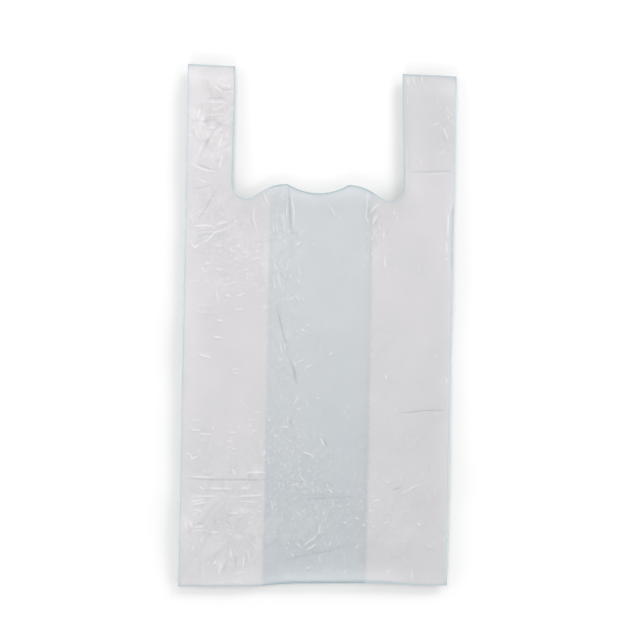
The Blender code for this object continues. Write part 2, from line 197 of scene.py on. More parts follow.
creases = {
    "left handle": {
        "ridge": [
            [(-110, 246), (-103, 240)], [(-125, 223), (-127, 212)], [(-116, 204), (-108, 203)],
            [(-100, 175), (-104, 162)], [(-134, 166), (-120, 160), (-108, 158)], [(-101, 195), (-107, 180)],
            [(-100, 248), (-93, 244)], [(-101, 204), (-107, 199)], [(-130, 205), (-129, 198), (-125, 192)],
        ],
        "fine": [
            [(-98, 241), (-90, 240)], [(-118, 229.5), (-98, 229.5)], [(-117, 216), (-101, 218)],
            [(-117, 196), (-115, 194)], [(-98, 200), (-96, 192)], [(-110, 178), (-113, 170)],
            [(-126, 178), (-122, 183)], [(-120, 167), (-118, 166)], [(-114, 163), (-111, 163)],
            [(-123, 149), (-115, 147)], [(-124, 256), (-124, 254)], [(-118.5, 256), (-118.5, 254)],
            [(-128, 243), (-126, 243)], [(-122, 246), (-120, 246)], [(-114, 222), (-104, 223)],
        ],
        "valley": [
            [(-108, 247), (-100, 242), (-90, 242)], [(-118, 233.5), (-100, 233.5)],
            [(-134, 210), (-120, 210), (-117, 213)], [(-125, 207), (-113, 212)],
            [(-100, 213), (-112, 198), (-120, 182), (-124, 172)], [(-128, 165), (-110, 160)],
        ],
        "dint": [[(-102, 231), (-90, 231)], [(-94, 220), (-92, 200), (-94, 185)], [(-116, 190), (-108, 170)]],
        "bulge": [[(-127, 216), (-124, 192)], [(-106, 244), (-98, 243)], [(-104, 190), (-106, 168)]],
    },
    "left shoulder": {
        "ridge": [
            [(-130, 102), (-116, 103), (-108, 102)], [(-132, 86), (-128, 80), (-122, 84)],
            [(-122, 84), (-114, 88), (-107, 96), (-98, 99)], [(-106, 103), (-93, 108)],
            [(-67, 122), (-68, 112), (-64, 98)], [(-96, 32), (-90, 30.5)],
            [(-84, 31), (-80, 32), (-76, 34)],
        ],
        "fine": [
            [(-85, 126), (-84, 124)], [(-58, 138), (-52, 124)], [(-133, 113), (-129, 104)],
            [(-88, 109), (-84, 107)], [(-80, 103), (-78, 101)], [(-87, 101), (-85, 101)],
            [(-89, 88), (-87, 88)],
            [(-106, 82.5), (-99, 82.5)], [(-76, 84), (-72, 86)], [(-92, 77), (-84, 77)],
            [(-78, 75.5), (-70, 75.5)],
            [(-66, 78), (-60, 78)], [(-99, 67), (-97, 67)], [(-94, 66), (-92, 66)], [(-88, 69), (-81, 69)],
            [(-70, 69), (-60, 71)], [(-118, 62.5), (-110, 64)], [(-119, 60), (-118, 57), (-114, 55)],
            [(-106, 58), (-98, 58)], [(-78, 58.5), (-70, 58.5)], [(-96, 58), (-94, 58)],
            [(-98, 41), (-84, 46)], [(-105, 38), (-104, 33), (-102, 23)], [(-86, 18), (-80, 17), (-76, 18)],
        ],
        "faint": [
            [(-133, 46), (-122, 46)], [(-121, 42), (-119, 42)], [(-125, 21), (-110, 21)],
            [(-125, 14), (-113, 14)], [(-108, 14), (-102, 14)], [(-119, 4), (-117, 4)],
        ],
        "valley": [
            [(-130, 140), (-112, 144)], [(-106, 140), (-112, 130), (-118, 118), (-126, 106)],
            [(-128, 96), (-118, 98), (-108, 99)], [(-126, 90), (-116, 94), (-104, 93)],
        ],
        "dint": [[(-126, 76), (-112, 80), (-100, 78)], [(-98, 92), (-86, 94)], [(-104, 50), (-92, 52)]],
        "bulge": [[(-124, 92), (-108, 100)]],
    },
    "left side": {
        "ridge": [
            [(-106, -11), (-98, -12)], [(-120, -29), (-116, -31), (-108, -33)], [(-104, 6), (-97, 5.5)],
            [(-128, -132), (-126, -137), (-121, -134)], [(-85, -146), (-83, -150), (-81, -153)],
            [(-128, -107), (-119, -107.5)], [(-127, -155), (-101, -156)],
            [(-72, -153), (-67, -150), (-50, -149.5)], [(-118, -165), (-113, -168)],
            [(-110, -167), (-85, -167)],
        ],
        "fine": [
            [(-88, -44), (-80, -44)], [(-87, -48), (-80, -48)], [(-134, 19), (-134, 17)],
            [(-133, -13), (-132, -15)], [(-119, -110.5), (-106, -112)], [(-105.5, -103), (-105, -107)],
            [(-89, -109), (-82, -109)], [(-80, -102), (-79, -105)], [(-66, -107), (-60, -107)],
            [(-91, -118.5), (-85, -118.5)], [(-86, -126), (-81, -126)], [(-134, -131), (-128, -132)],
            [(-77, -167), (-67, -167)], [(-69, -165), (-67, -162)], [(-77, -81), (-76, -83)],
            [(-57, 20), (-53, 20)],
        ],
        "faint": [
            [(-91, -143), (-88, -144)], [(-70, -96), (-56, -95)], [(-66, -88), (-54, -88)],
            [(-70, -104), (-66, -100)], [(-98, -82), (-96, -83)],
        ],
        "valley": [[(-134, -157), (-110, -158), (-80, -158), (-46, -157)], [(-78, -158.5), (-56, -157.5)]],
        "dint": [[(-134, -108.6), (-112, -109)], [(-84, -147), (-79, -142)], [(-70, -154), (-54, -153)]],
        "bulge": [[(-66, -152), (-54, -152)]],
    },
    "under the lip": {
        "fold": [[(-33, 147), (-31.5, 135), (-30, 110), (-29, 98), (-23, 96), (-20, 92)]],
        "dint": [[(-29, 90), (-28, 70)], [(-35.5, 128), (-35, 112)]],
        "ridge": [
            [(-34.5, 127), (-33.5, 112)], [(-19, 88), (-24, 84)], [(20, 115), (21, 113)],
            [(49, 140), (48, 115), (51, 108)], [(61, 128), (55, 124), (52, 118)],
            [(60, 117), (56, 112), (55, 108)],
            [(-29, 135), (-26.5, 120), (-26, 104)],
        ],
        "fine": [
            [(-38, 133), (-38, 131)], [(-39, 116), (-38, 107)], [(-36, 115), (-36, 98)],
            [(-48, 105), (-46, 97)],
            [(-44, 105), (-42, 97)], [(-40, 93), (-40, 91)], [(-37, 90), (-33, 85)], [(-45, 65), (-42, 58)],
            [(-37, 63), (-37, 61)], [(-42, 55), (-38, 40)], [(-46, 50), (-45, 40)], [(-30, 54), (-27, 51)],
            [(-22, 50), (-18, 45)], [(9, 127), (17, 115)], [(55, 96), (54, 90)], [(55, 80), (55, 75)],
            [(-46, 34), (-46, 32)], [(-40, 35), (-40, 33)], [(-32, 35), (-31, 33)], [(-30, 28), (-24, 32)],
            [(-23, 34), (-19, 27)], [(-17, 32), (-14, 27)],
        ],
        "faint": [
            [(-6, 132), (-6, 130)], [(9, 135), (9, 133)], [(22, 105), (22, 103)], [(2, 102), (2, 100)],
            [(5, 113), (5, 111)], [(40, 78), (40, 76)], [(10, 88), (10, 86)], [(10, 20), (10, 18)],
            [(10, 5), (10, 3)], [(-28, 20), (-22, 17)],
        ],
        "valley": [[(58, 122), (54, 116)], [(60, 112), (57, 106)]],
    },
    "right shoulder": {
        "ridge": [[(135, 119), (134.5, 95)], [(133.5, 92), (134, 78)], [(134, 75), (134, 72)]],
        "fine": [
            [(76, 122), (77, 117)], [(79, 116), (81, 113)], [(62, 107), (62, 101)], [(60, 101), (58, 101)],
            [(67, 101), (66, 92)], [(66, 88), (67, 86)], [(68, 75), (68, 64)], [(67, 70), (69, 63)],
            [(72, 55), (72, 53)], [(80, 63), (80, 61)], [(104, 119), (105, 118)],
        ],
        "faint": [[(103, 67), (102, 64)], [(73, 84), (74, 81)], [(64, 86), (63, 84)]],
        "dint": [[(71, 104), (69, 92)], [(64, 110), (60, 98)]],
    },
    "right handle": {
        "ridge": [[(126, 207), (129, 200), (131, 195)], [(129.5, 228), (129, 226)], [(130, 220), (132, 217)]],
        "fine": [[(94, 258), (95, 251)], [(102, 260), (103, 253)], [(120, 213), (115, 210)], [(88, 256), (88, 250)]],
        "faint": [[(88, 240), (88, 232)], [(87, 190), (87, 165)], [(88.5, 186), (88.5, 140)], [(103, 175), (103, 168)]],
        "valley": [[(90, 162), (110, 162), (139, 163)]],
        "dint": [[(124, 212), (127, 206)], [(123, 200), (127, 194), (130, 190)], [(85.5, 186), (86, 136)]],
    },
    "middle": {
        "fold": [
            [(-43, 25), (-40, 12), (-36, -4), (-32, -18), (-29, -27)],
            [(-28, -30), (-27, -35), (-23, -45), (-20, -60)],
        ],
        "ridge": [
            [(-17, -2), (-12, -3.5)], [(-11, -41), (-5, -38)], [(-17, -34), (-20, -36)],
            [(-17, -33.5), (-14, -34)],
            [(-40, -34.5), (-35, -33)], [(-40, -10), (-40, -12)], [(12, -27), (17, -26)],
            [(5.5, -113), (9, -121)],
            [(-34, -102.5), (-28, -102.5)], [(-43, -111), (-39, -113)], [(33, -79), (32, -81)],
            [(30, -85), (30, -87)],
            [(-12, -127), (-9, -129), (-3, -131), (-1, -134)], [(13, -161), (14, -164)],
            [(15, -166), (20, -170)],
        ],
        "fine": [
            [(-39, -13), (-37, -20), (-36, -29)], [(-34, -14), (-32, -24)], [(-24, -34), (-21, -40)],
            [(-12, -42), (-12, -44)], [(-13, 2), (-7, 3)], [(-15, -6), (-15, -8)], [(-29, -52), (-29, -54)],
            [(-8.5, -61), (-8.5, -63)], [(-19, -70), (-21, -76), (-23, -79)], [(-20, -84), (-16, -83)],
            [(0, -71), (4, -73)], [(-5, -81), (-5, -83)], [(-29, -92), (-28, -97)],
            [(-38, -115), (-36, -115)],
            [(-49, -93), (-47, -98)], [(-50, -112), (-50, -114)], [(-51, -127), (-52, -131)],
            [(-48, -134), (-47, -141)], [(-16, -150), (-13, -155), (-10, -158), (-11, -163)],
            [(-12, -160), (-8, -163)], [(-25, -163), (-18, -161), (-15, -165)], [(-36, -164), (-36, -166)],
            [(0, -165), (0, -167)], [(4, -166), (4, -168)], [(-36, -141), (-34, -141)],
            [(-30, -141), (-30, -145)],
        ],
        "faint": [
            [(-12, -76), (-8, -77)], [(23, -101), (23, -103)], [(-22, -122), (-24, -132)],
            [(-16, -130), (-17, -145)],
            [(17, -125), (16, -129)], [(36, -88), (34, -91), (31, -91)], [(-19, -120), (-17, -128)],
            [(-37, -124), (-36, -132)], [(-25, -141), (-23, -148)], [(-34, -150), (-34, -154)],
        ],
        "valley": [[(-27, -92), (-23, -107)], [(8.5, -113), (12, -122)]],
        "dint": [
            [(-45, -158), (-12, -158.5)], [(-24, -43), (-21, -55)], [(-30, -172), (20, -172)],
            [(-27, -162), (-24, -160)],
        ],
    },
    "bottom left": {
        "ridge": [
            [(-125, -175), (-100, -175)], [(-78, -175), (-54, -173)], [(-128, -181), (-112, -178)],
            [(-126, -184), (-110, -181)], [(-124, -188), (-115, -190)], [(-88, -192), (-76, -192)],
            [(-128, -200), (-124, -208)], [(-124, -207), (-113, -206)], [(-103, -245), (-99, -241)],
            [(-97, -255), (-93, -243)], [(-85, -229), (-84, -238)], [(-71, -236), (-72, -248)],
        ],
        "fine": [
            [(-75, -166), (-66, -166)], [(-77, -180), (-58, -180)], [(-125, -194), (-115, -190)],
            [(-133, -183), (-131, -183)], [(-114, -196), (-114, -198)], [(-96, -187), (-94, -187)],
            [(-75, -191), (-67, -191)], [(-58, -190), (-53, -190)], [(-125, -210), (-113, -210)],
            [(-117, -218), (-113, -222)], [(-125, -230), (-121, -226)], [(-133, -200), (-130, -212)],
            [(-132, -232), (-132, -234)], [(-104, -200), (-104, -202)], [(-95, -206), (-95, -208)],
            [(-91, -202), (-88, -206)], [(-68, -202), (-62, -202)], [(-58, -204), (-58, -206)],
            [(-67, -208), (-67, -210)], [(-110, -212), (-98, -212)], [(-88, -214), (-83, -214)],
            [(-94, -236), (-94, -238)], [(-86, -248), (-86, -250)], [(-67, -231), (-65, -240)],
            [(-64, -220), (-57, -231)], [(-110, -261), (-110, -263)], [(-91, -262), (-95, -265)],
            [(-72, -262), (-73, -265)], [(-133, -265), (-133, -267)],
        ],
        "valley": [[(-122, -203), (-112, -203)], [(-92, -252), (-88, -240)], [(-80, -236), (-79, -250)]],
        "dint": [
            [(-128, -186), (-110, -184)], [(-110, -171), (-70, -171)], [(-76, -186), (-56, -186)],
            [(-106, -220), (-92, -222)], [(-110, -236), (-100, -248)], [(-62, -240), (-58, -252)],
        ],
        "bulge": [[(-100, -243), (-94, -250)], [(-86, -191), (-70, -191)]],
    },
    "bottom middle": {
        "ridge": [
            [(7, -202), (6, -210), (4, -213)], [(4, -213), (0, -217), (-6, -221), (-10, -225)],
            [(3, -222), (-2, -226), (-7, -229)], [(-17, -222), (-13, -226)], [(-23, -232), (-20, -235)],
            [(-7, -248), (-3, -246)], [(-27, -221), (-24, -223)], [(30, -200), (34, -200)],
            [(50, -201), (54, -203)],
            [(33, -238), (33, -240)], [(42, -194), (46, -196)], [(45, -223), (44, -227)],
            [(18, -220), (16, -224)],
        ],
        "fine": [
            [(-20, -188), (-15, -192), (-13, -196)], [(-11, -217), (-10, -219)], [(-22, -196), (-22, -198)],
            [(-44, -178), (-42, -188)], [(-40, -180), (-40, -182)], [(-39, -186), (-39, -188)],
            [(-47, -208), (-46, -209)],
            [(-48, -214), (-47, -217)], [(-48, -222), (-46, -222)], [(24, -183), (28, -183)],
            [(19, -179), (20, -183)],
            [(49, -176), (48, -179)], [(38, -236), (38, -238)], [(30, -230), (30, -232)],
            [(-40, -210), (-39, -212)],
            [(50, -246), (50, -248)], [(35, -248), (33, -252)],
        ],
        "faint": [
            [(-18, -200), (-20, -208)], [(30, -187), (30, -189)], [(25, -201), (24, -205)],
            [(29, -209), (30, -212)],
            [(-26, -189), (-26, -191)], [(10, -214), (10, -216)], [(-31, -190), (-35, -195)],
            [(-25, -200), (-24, -204)],
        ],
        "valley": [
            [(-20, -178), (0, -176), (20, -174.5), (50, -173)],
            [(-30, -240), (-10, -235), (0, -232), (15, -230), (30, -225), (40, -222)],
        ],
        "dint": [[(8, -206), (8, -214), (2, -220)], [(-9, -232), (4, -226)], [(-50, -205), (-44, -212)]],
    },
    "right side": {
        "ridge": [
            [(71, -47), (72, -51)], [(82.5, -82), (82.5, -84)], [(134, -49), (135, -54)],
            [(74, -158), (77, -156)],
            [(106, -198), (110, -201)], [(85.5, -215.5), (86.5, -215.5)], [(123.5, -218), (124.5, -218)],
        ],
        "fine": [
            [(75, -43), (75, -45)], [(75, -67), (75, -69)],
            [(90, -168), (97, -165), (102, -161), (108, -159)],
            [(97, -166), (99, -163)], [(102, -247), (102, -258)], [(76, -251), (79, -247)],
            [(118, -254), (118, -256)],
            [(60, -177), (68, -175)], [(56, -187), (61, -187)], [(77, -198), (72, -200)],
            [(60, -202), (62, -204)],
            [(131, -6), (131, -8)],
        ],
        "faint": [
            [(115, -56), (115, -58)], [(78, -90), (78, -93)], [(87, -172), (87, -174)],
            [(90, -186), (96, -186)],
            [(75, -181), (75, -183)], [(80, -199), (81, -200)], [(117, -222), (122, -222)],
            [(92, -217), (97, -217)],
            [(75, -187), (78, -189)], [(65, -200), (66, -202)], [(85, -242), (85, -244)],
            [(95, -156), (96, -158)],
        ],
        "valley": [[(86, -86), (103, -84.5), (111, -83), (136, -82)], [(80, -166), (90, -162)]],
        "dint": [[(117, -142), (117, -146)], [(74, -52), (78, -54)], [(82, -236), (90, -234)], [(110, -224), (124, -226)]],
    },
}

# Where the film was crushed: centre, reach, number of small creases with their lie in degrees, and broad facets
crumplePatches = [
    {"at": (-112, 208), "reach": (24, 48), "count": 80, "lie": 50, "scatter": 45, "length": 9, "broad": 1.0},
    {"at": (-112, 118), "reach": (26, 26), "count": 36, "lie": 20, "scatter": 50, "length": 8, "broad": 0.6},
    {"at": (-86, 72), "reach": (46, 40), "count": 70, "lie": 10, "scatter": 30, "length": 6, "broad": 0.35},
    {"at": (-38, 90), "reach": (12, 60), "count": 60, "lie": 95, "scatter": 16, "length": 9, "broad": 0.35},
    {"at": (60, 100), "reach": (12, 40), "count": 34, "lie": 95, "scatter": 25, "length": 8, "broad": 0.2},
    {"at": (-36, -20), "reach": (16, 50), "count": 34, "lie": 105, "scatter": 25, "length": 7, "broad": 0.2},
    {"at": (-28, -140), "reach": (24, 60), "count": 130, "lie": 100, "scatter": 50, "length": 5, "broad": 0.3},
    {"at": (0, -190), "reach": (46, 56), "count": 130, "lie": 60, "scatter": 60, "length": 5, "broad": 0.35},
    {"at": (-94, -208), "reach": (44, 48), "count": 150, "lie": 0, "scatter": 55, "length": 7, "broad": 0.9},
    {"at": (-90, -130), "reach": (40, 40), "count": 24, "lie": 0, "scatter": 35, "length": 8, "broad": 0.15},
    {"at": (84, -196), "reach": (46, 46), "count": 30, "lie": 15, "scatter": 55, "length": 6, "broad": 0.2},
    {"at": (126, 205), "reach": (12, 30), "count": 16, "lie": 120, "scatter": 30, "length": 7, "broad": 0.2},
]


def scatteredCreases():
    dice = random.Random(27)
    strokes = []
    for patch in crumplePatches:
        for _ in range(patch["count"]):
            angle = math.radians(patch["lie"] + dice.gauss(0, patch["scatter"]))
            x, y = (c + r * dice.gauss(0, 0.6) for c, r in zip(patch["at"], patch["reach"]))
            half = patch["length"] * dice.uniform(0.2, 0.8)
            bend = dice.uniform(-0.25, 0.25) * half
            dx, dy = math.cos(angle) * half, math.sin(angle) * half
            line = [(x - dx, y - dy), (x - dy * bend / half, y + dx * bend / half), (x + dx, y + dy)]
            pen = pens["faint"] if dice.random() < 0.6 else pens["dint"]
            strokes.append((line, pen, dice.uniform(0.25, 1)))
    return strokes


def allStrokes():
    strokes = []
    for kinds in creases.values():
        for kind, lines in kinds.items():
            strokes += [(line, pens[kind], 1.0) for line in lines]
    return strokes + scatteredCreases()


def alongStroke(x, y, line, reach):     # points near a stroke: which, how far off it, and how far along it
    line = np.array(line, dtype=float)
    low, high = line.min(0) - reach, line.max(0) + reach
    near = np.flatnonzero((x > low[0]) & (x < high[0]) & (y > low[1]) & (y < high[1]))
    off = np.full(len(near), 1e9)
    along = np.zeros(len(near))
    lengths = np.hypot(*np.diff(line, axis=0).T)
    run = 0
    for (ax, ay), (bx, by), length in zip(line, line[1:], lengths):
        t = np.clip(((x[near] - ax) * (bx - ax) + (y[near] - ay) * (by - ay)) / length ** 2, 0, 1)
        gap = np.hypot(x[near] - ax - t * (bx - ax), y[near] - ay - t * (by - ay))
        nearer = gap < off
        off[nearer] = gap[nearer]
        along[nearer] = (run + t[nearer] * length) / lengths.sum()
        run += length
    return near, off, along


def creased(x, y, strokes):             # what all strokes together do to the film at these points
    height, strainWhiteAndGlint, creaseShade = np.zeros(len(x)), np.zeros(len(x)), np.zeros(len(x))
    for line, pen, strength in strokes:
        near, off, along = alongStroke(x, y, line, pen["reach"])
        tent = np.clip(1 - off / pen["reach"], 0, 1)
        taper = 1 - np.abs(2 * along - 1) ** 3 * 0.8
        height[near] += pen["height"] * strength * tent * taper
        # strain whitening with a painted highlight along the crease's crest
        strainWhiteAndGlint[near] = np.maximum(strainWhiteAndGlint[near], pen["strainWhiteAndGlint"] * strength * smooth(0, 0.9, tent) * taper)
        # painted shade along valleys, folds and dints
        creaseShade[near] = np.maximum(creaseShade[near], pen["creaseShade"] * strength * smooth(0, 0.9, tent) * taper)
    return height, strainWhiteAndGlint, creaseShade


def crumpleAt(x, y):            # how finely crushed the film is, and how much it stands in broad facets
    clear, flat = np.ones(len(x)), np.ones(len(x))
    for patch in crumplePatches:
        far = ((x - patch["at"][0]) / patch["reach"][0]) ** 2 + ((y - patch["at"][1]) / patch["reach"][1]) ** 2
        near = np.exp(-far)
        clear *= 1 - 0.8 * near * min(1, patch["count"] / 60)
        flat *= 1 - patch["broad"] * near
    return 1 - clear, 1 - flat


# How the layers lie over each other
stack = {
    "floorClearance": 0.15,
    "foldGap": 1.9,             # a fold springs this far open at the side of the bag
    "pocketGap": 1.2,           # between the halves of a gusset
    "foldPuff": 72.0,           # and settles over about this width
    "settled": 0.24,            # to this share
    "middleGap": 0.5,           # between the panels where no gusset lies
    "stepWidth": 4.0,           # the front panel drops over this width past a gusset
    "pressed": 0.08,            # share of the gaps left at a weld
    "weldSettle": 24.0,
    "crushLoft": 0.7,           # crushed film stands this much prouder
}

edgeLift = {                    # every free edge stands off the floor
    "cut": 4.3, "cutWidth": 16.0,
    "side": 2.2, "sideWidth": 16.0,
    "curl": 1.4, "curlWidth": 8.0, "curlDrawnIn": 2.7,      # the middle of the base turns up
    "sideRim": 0.8,             # a fold at the side shows less of a rim than a cut edge does
}


def curlShare(x):
    return smooth(-62, -18, x) * (1 - smooth(62, 118, x))


def curlAt(x, y):
    return curlShare(x) * np.exp(-((y - baseY(x)) / edgeLift["curlWidth"]) ** 2)


def fromMouth(x, y):
    nearest = np.full(len(x), 1e9)
    for mouthX, mouthY in mouth[::2]:
        nearest = np.minimum(nearest, (x - mouthX) ** 2 + (y - mouthY) ** 2)
    return np.sqrt(nearest)


def lift(x, y):                 # height of the lowest layer above the floor
    width = edgeLift["cutWidth"]
    flat = 1.0
    for distance in (y - baseY(x), topY(x) - y, fromMouth(x, y)):
        flat = flat * (1 - np.exp(-(distance / width) ** 2))
    cut = edgeLift["cut"] * (1 - flat) * (1 + 0.2 * swell(x, y, 5, 60))
    side = edgeLift["side"] * np.exp(-((halfWidth - np.abs(x)) / edgeLift["sideWidth"]) ** 2) * flat
    side = side * (1 + 0.5 * swell(x, y, 8, 90))
    slow = 0.35 * (1 + swell(x, y, 3, 150))
    return stack["floorClearance"] + slow + cut + side + edgeLift["curl"] * curlAt(x, y)


def gaps(x, y):                 # air under gusset low, gusset high and front panel over a gusset
    fromEnd = np.minimum(y - baseY(x), topY(x) - y)
    slack = stack["pressed"] + (1 - stack["pressed"]) * smooth(2, stack["weldSettle"], fromEnd)
    share = stack["settled"] + (1 - stack["settled"]) * (1 - smooth(0, stack["foldPuff"], halfWidth - np.abs(x)))
    uneven = 1 + 0.3 * swell(x, y, 11, 80)
    outer = stack["foldGap"] * share * uneven * slack
    pocket = stack["pocketGap"] * share * (2 - uneven) * slack
    return outer, pocket, slack


def layerHeight(layer, x, y):
    outer, pocket, slack = gaps(x, y)
    height = lift(x, y)
    if layer == "back":
        return height
    if layer == "low":
        return height + outer
    if layer == "high":
        return height + outer + pocket
    middle = stack["middleGap"] * (1 + 0.4 * swell(x, y, 14, 70)) * slack
    step = stack["stepWidth"]
    raised = smooth(innerFold[1] - step, innerFold[1] + 0.6, x)
    raised = raised + smooth(-innerFold[-1] - step, -innerFold[-1] + 0.6, -x)
    return height + middle + (2 * outer + pocket - middle) * raised


def recede(y):                  # the upper fold on the right falls short of the lower one here
    return 0.4 + 1.9 * smooth(58, 74, y) * (1 - smooth(118, 130, y)) + 0.3 * swell(np.full(len(y), 9.0), y, 21, 60)


def drawnIn(layer, x, y):       # a fold's turn takes up part of the width
    outer, pocket, _ = gaps(np.sign(x) * halfWidth, y)
    toSide = smooth(0, 1, (np.abs(x) - halfWidth + 16) / 16)
    taken = outer / 2 * toSide
    if layer in ("high", "front"):
        taken = taken + np.where(x > 0, recede(y), 0.35) * toSide
    moved = x - np.sign(x) * taken
    if layer in ("low", "high"):
        side = np.sign(x)
        foldX = np.where(x > 0, innerFold[1], innerFold[-1])
        _, pocketHere, _ = gaps(foldX, y)
        moved = moved + side * pocketHere / 2 * (1 - smooth(0, 8, np.abs(x - foldX)))
    return moved


# Points of each layer, closer together along the creases
def spacedOut(batches, inside, outline):
    cell = 1.2
    taken = {}
    kept = []
    for points, apart in batches:
        for x, y in points:
            column, row = int(x // cell), int(y // cell)
            clash = False
            for i in (-1, 0, 1):
                for j in (-1, 0, 1):
                    for px, py in taken.get((column + i, row + j), ()):
                        if (px - x) ** 2 + (py - y) ** 2 < apart * apart:
                            clash = True
            if not clash:
                taken.setdefault((column, row), []).append((x, y))
                kept.append((x, y))
    kept = np.array(kept)
    return kept[inside(kept, outline)]


def insideOutline(points, outline):
    x, y = points[:, 0], points[:, 1]
    odd = np.zeros(len(points), dtype=bool)
    for (ax, ay), (bx, by) in zip(outline, np.roll(outline, -1, axis=0)):
        if ay != by:
            crosses = (ay > y) != (by > y)
            odd ^= crosses & (x < (bx - ax) * (y - ay) / (by - ay) + ax)
    return odd


def edgeTree(outline, second=None):     # a closed outline, or two open lines
    if second is None:
        dense = evenly(np.vstack([outline, outline[:1]]), 0.5)
    else:
        dense = np.vstack([evenly(outline, 0.5), evenly(second, 0.5)])
    tree = KDTree(len(dense))
    for i, (x, y) in enumerate(dense):
        tree.insert((x, y, 0), i)
    tree.balance()
    return tree


wholeEdge = edgeTree(wholeOutline)
cutEdge = edgeTree(np.concatenate([rightTop, mouth, leftTop]), baseLine)


def toEdge(points, tree=wholeEdge):
    return np.array([tree.find((x, y, 0))[2] for x, y in points])


def hexPoints(step, seed):
    dice = np.random.default_rng(seed)
    rows = np.arange(baseLeft, topLeft, step * 0.866)
    points = []
    for i, y in enumerate(rows):
        xs = np.arange(-halfWidth + (i % 2) * step / 2, halfWidth, step)
        points.append(np.column_stack([xs, np.full(len(xs), y)]))
    points = np.vstack(points)
    return points + dice.uniform(-0.18, 0.18, points.shape) * step


def strokePoints(strokes, step):
    points = []
    for line, pen, _ in strokes:
        run = evenly(line, step)
        ahead = np.gradient(run, axis=0)
        ahead /= np.hypot(*ahead.T)[:, None] + 1e-9
        across = np.column_stack([-ahead[:, 1], ahead[:, 0]])
        offsets = (0, -1, 1) if pen["reach"] < 5 else (0,)
        for side in offsets:
            points.append(run + across * side * pen["reach"])
    return np.vstack(points)


def meshLayer(outline, points, tree):
    points = points[toEdge(points, tree) > 0.8]
    flat = [Vector(p) for p in outline] + [Vector(p) for p in points]
    loop = list(range(len(outline)))
    made, _, faces, origins, _, _ = delaunay_2d_cdt(flat, [], [loop], 1, 1e-6)
    places = np.array([(v.x, v.y) for v in made])
    newIndex = {}
    for i, sources in enumerate(origins):
        for source in sources:
            newIndex[source] = i
    return places, faces, [newIndex[i] for i in range(len(outline))]


filmToneAndShade = {                    # the film is drawn greyer in places; part of it is painted shade
    "base": 0.16, "right": 0.05,            # painted shade towards the base, where the light falls off, and greyer towards the right of the bag
    "middleBase": 0.13,                     # and more painted shade in the single panels, low down
    "rightHandle": 0.08, "leftShoulder": 0.03,
    "cutShade": 0.1, "cutShadeWidth": 9.0,  # painted shade along the mouth and over the handle tops
}


def toneAndShadeAt(x, y):
    # painted shade towards the base, and a greyer film towards the right
    tone = filmToneAndShade["base"] * np.clip((250 - y) / 520, 0, 1) + filmToneAndShade["right"] * np.clip((x + 100) / 238, 0, 1)
    middle = smooth(innerFold[-1] - 2, innerFold[-1] + 2, x) * (1 - smooth(innerFold[1] - 2, innerFold[1] + 2, x))
    tone = tone + filmToneAndShade["middleBase"] * middle * smooth(60, -260, y)
    tone = tone + filmToneAndShade["rightHandle"] * smooth(70, 95, x) * smooth(120, 190, y)
    tone = tone + filmToneAndShade["leftShoulder"] * np.exp(-((x + 100) / 40) ** 2 - ((y - 110) / 40) ** 2)
    # painted shade along the mouth and over the handle tops
    fromCut = np.minimum(topY(x) - y, fromMouth(x, y))
    return tone + filmToneAndShade["cutShade"] * np.exp(-(fromCut / filmToneAndShade["cutShadeWidth"]) ** 2)


film = {"places": [], "faces": [], "corners": [], "edge": [], "strainWhiteAndGlint": [], "creaseShade": [], "gusset": [], "crumple": [],
        "broad": [], "tone": []}
stripWidth = 4.0                # a fold's turn in the film laid out flat
flatWidth = 4 * halfWidth + 2 * (bag["gussetLeft"] + bag["gussetRight"]) + 6 * stripWidth


def addLayer(layer, outline, interior, tree, laidOut, strokes):
    places, faces, outlineIndex = meshLayer(outline, interior, tree)
    x, y = places.T
    z = layerHeight(layer, x, y)
    strainWhiteAndGlint, creaseShade = np.zeros(len(x)), np.zeros(len(x))
    crumple, broad = crumpleAt(x, y)
    if layer == "front":
        height, strainWhiteAndGlint, creaseShade = creased(x, y, strokes)
        under = np.maximum(layerHeight("back", x, y), layerHeight("high", x, y) * (np.abs(x) > 50))
        z = np.maximum(z + height + crumple * stack["crushLoft"] * 0.5, under + 0.1)
    fromSide = halfWidth - np.abs(x)
    # the painted rim shade is widened where the base curls up
    edge = np.minimum(toEdge(places, cutEdge), fromSide + edgeLift["sideRim"]) * (1 - 0.55 * curlAt(x, y))
    start = sum(len(p) for p in film["places"])
    film["places"].append(np.column_stack([drawnIn(layer, x, y), y + edgeLift["curlDrawnIn"] * curlAt(x, y), z]))
    if layer in ("back", "high"):       # the film's outside faces down here
        faces = [face[::-1] for face in faces]
    film["faces"] += [[i + start for i in face] for face in faces]
    film["corners"] += [[(laidOut(x[i]), y[i] - baseLeft) for i in face] for face in faces]
    film["edge"].append(edge)
    film["strainWhiteAndGlint"].append(strainWhiteAndGlint)
    film["creaseShade"].append(creaseShade)
    film["crumple"].append(crumple if layer == "front" else crumple * 0.4)
    film["broad"].append(broad if layer == "front" else broad * 0.4)
    film["tone"].append(toneAndShadeAt(x, y))
    gusset = smooth(innerFold[1] - 0.8, innerFold[1] + 0.8, x)
    gusset = gusset + smooth(-innerFold[-1] - 0.8, -innerFold[-1] + 0.8, -x)
    film["gusset"].append(gusset)
    return {tuple(np.round(p, 3)): start + i for p, i in zip(outline, outlineIndex)}


